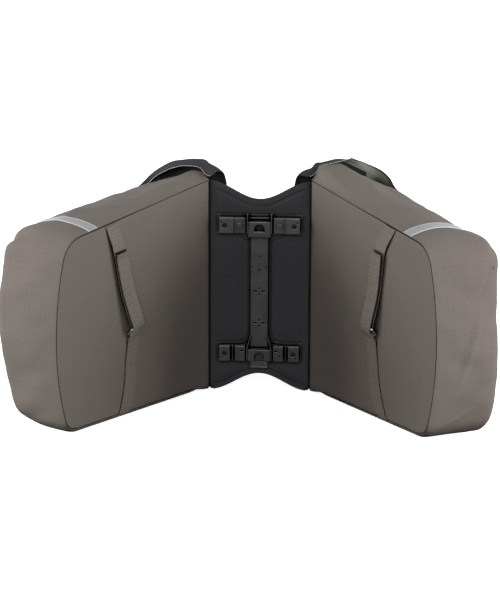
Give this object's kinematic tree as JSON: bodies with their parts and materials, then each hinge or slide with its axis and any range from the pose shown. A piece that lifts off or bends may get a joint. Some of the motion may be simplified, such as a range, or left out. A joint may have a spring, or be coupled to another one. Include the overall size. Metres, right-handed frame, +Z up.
{
  "type": "double pannier bag",
  "caption": "Double pannier bag standing on end: soft taupe bags spread from a black cloth bridge that carries a plastic carrier adapter, with lids, straps, rings and reflective strips.",
  "frame": {"origin": "on the floor, under the middle of the bounding box", "axes": "+X from the left bag to the right bag, -Y out of the bridge on the adapter's side, +Z up, along the bicycle in use"},
  "size_m": [0.7702, 0.3588, 0.3843],
  "materials": {
    "taupe_cloth": "matt woven polyester",
    "taupe_webbing": "matt webbing",
    "black_cloth": "matt woven polyester",
    "grey_plastic": "fine grain",
    "black_plastic": "fine grain",
    "latch_plastic": "smooth",
    "steel_wire": "polished",
    "reflective_tape": "satin"
  },
  "bodies": {
    "root": {"adapter_plate": "grey_plastic", "backing_plate": "black_plastic", "bridge_hem_lower": "black_cloth", "bridge_hem_upper": "black_cloth", "bridge_panel": "black_cloth", "latch_tongue": "latch_plastic", "left_gusset": "taupe_cloth", "left_inner_panel": "taupe_cloth", "left_lid": "black_cloth", "left_outer_panel": "taupe_cloth", "left_piping": "taupe_cloth", "left_reflective_strip": "reflective_tape", "left_strap": "taupe_webbing", "left_strap_anchor": "taupe_webbing", "left_strap_ring": "steel_wire", "plate_screw_1": "grey_plastic", "plate_screw_2": "grey_plastic", "plate_screw_3": "grey_plastic", "plate_screw_4": "grey_plastic", "right_gusset": "taupe_cloth", "right_inner_panel": "taupe_cloth", "right_lid": "black_cloth", "right_outer_panel": "taupe_cloth", "right_piping": "taupe_cloth", "right_reflective_strip": "reflective_tape", "right_strap": "taupe_webbing", "right_strap_anchor": "taupe_webbing", "right_strap_ring": "steel_wire"}
  },
  "joints": []
}
